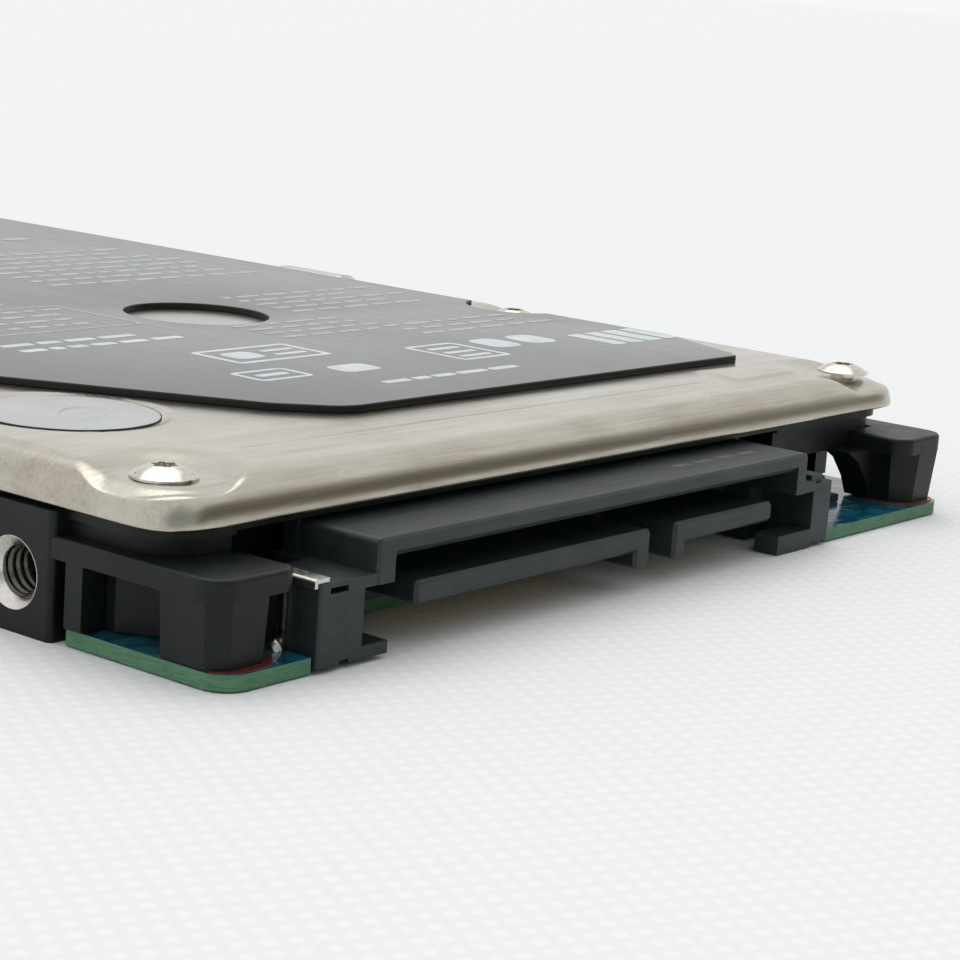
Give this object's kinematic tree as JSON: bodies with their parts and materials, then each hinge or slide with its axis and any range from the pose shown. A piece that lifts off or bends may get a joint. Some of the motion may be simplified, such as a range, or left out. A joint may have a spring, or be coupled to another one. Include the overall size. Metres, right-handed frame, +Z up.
{
  "type": "hard disk drive",
  "caption": "Slim 2.5-inch disk drive: black cast base, bright sheet cover with a black damping plate, green circuit board and a blade-type data and power connector.",
  "frame": {"origin": "middle of the bottom face, in the plane the side rails rest on", "axes": "+Z up through the cover, +Y along the length away from the connector end, +X to the right when the connector end is nearest"},
  "size_m": [0.0698, 0.1007, 0.0095],
  "materials": {
    "black_casting": "satin black electrocoat over cast aluminium",
    "cover_steel": "fine brushed stainless sheet, warm tone",
    "black_plate": "satin black coating",
    "seal_label": "matt white film",
    "rubber": "matt black",
    "screw_steel": "bright steel",
    "board_laminate": "blue-green solder mask over glass laminate",
    "copper": "bare copper",
    "chip_resin": "matt black moulding compound",
    "gold": "gold plated",
    "polyester_film": "thin dark film",
    "connector_resin": "dark blue-grey glass-filled moulding",
    "tinned": "tinned, bright",
    "machined_alloy": "machined",
    "magnet": "nickel plated",
    "disc_coating": "mirror",
    "slider_ceramic": "ceramic",
    "ivory_resin": "unfilled resin",
    "amber_film": "polyimide",
    "filter_fibre": "white fibre"
  },
  "bodies": {
    "enclosure": {"base_casting": "black_casting", "bearing_sleeve": "screw_steel", "board_components": "chip_resin", "board_screws": "screw_steel", "board_standoffs": "screw_steel", "breather_filter": "filter_fibre", "circuit_board": "board_laminate", "connector_housing": "connector_resin", "controller_chip": "chip_resin", "cover_gasket": "rubber", "cover_screws": "screw_steel", "crash_stops": "rubber", "damping_plate": "black_plate", "drying_pack": "filter_fibre", "flash_chip": "chip_resin", "flex_bracket": "machined_alloy", "flex_connector": "connector_resin", "flex_loop": "amber_film", "ground_lands": "copper", "hold_down_straps": "tinned", "insulator_film": "polyester_film", "latch_pin": "screw_steel", "lower_magnets": "magnet", "lower_yoke": "magnet", "memory_chip": "chip_resin", "motor_driver_chip": "chip_resin", "parking_ramp": "ivory_resin", "pivot_shaft": "screw_steel", "power_contacts": "gold", "recirculation_filter": "filter_fibre", "round_seal": "seal_label", "signal_contacts": "gold", "solder_joints": "tinned", "stator_coils": "copper", "stator_core": "screw_steel", "stator_seat": "machined_alloy", "test_pads": "gold", "top_cover": "cover_steel", "upper_magnets": "magnet", "upper_yoke": "magnet", "yoke_spacers": "screw_steel"},
    "spindle": {"spindle_hub": "machined_alloy", "spindle_shaft": "screw_steel", "rotor_magnet": "magnet", "lower_disc": "disc_coating", "upper_disc": "disc_coating", "disc_spacer": "machined_alloy", "disc_clamp": "screw_steel", "clamp_screw": "screw_steel"},
    "actuator": {"pivot_bearing": "screw_steel", "arm_block": "machined_alloy", "suspensions": "cover_steel", "head_sliders": "slider_ceramic", "coil_frame": "ivory_resin", "voice_coil": "copper"},
    "latch": {"inertia_latch": "ivory_resin"}
  },
  "joints": [
    {"name": "spindle_spin", "type": "hinge", "parent": "enclosure", "child": "spindle", "pos_m": [0, 0.0155, 0.004], "axis": [0, 0, 1], "continuous": true},
    {"name": "actuator_swing", "type": "hinge", "parent": "enclosure", "child": "actuator", "pos_m": [0.0131, -0.0249, 0.0055], "axis": [0, 0, 1], "range_deg": [0, 35]},
    {"name": "latch_swing", "type": "hinge", "parent": "enclosure", "child": "latch", "pos_m": [-0.0076, -0.0392, 0.0054], "axis": [0, 0, 1], "range_deg": [-10, 0]}
  ]
}
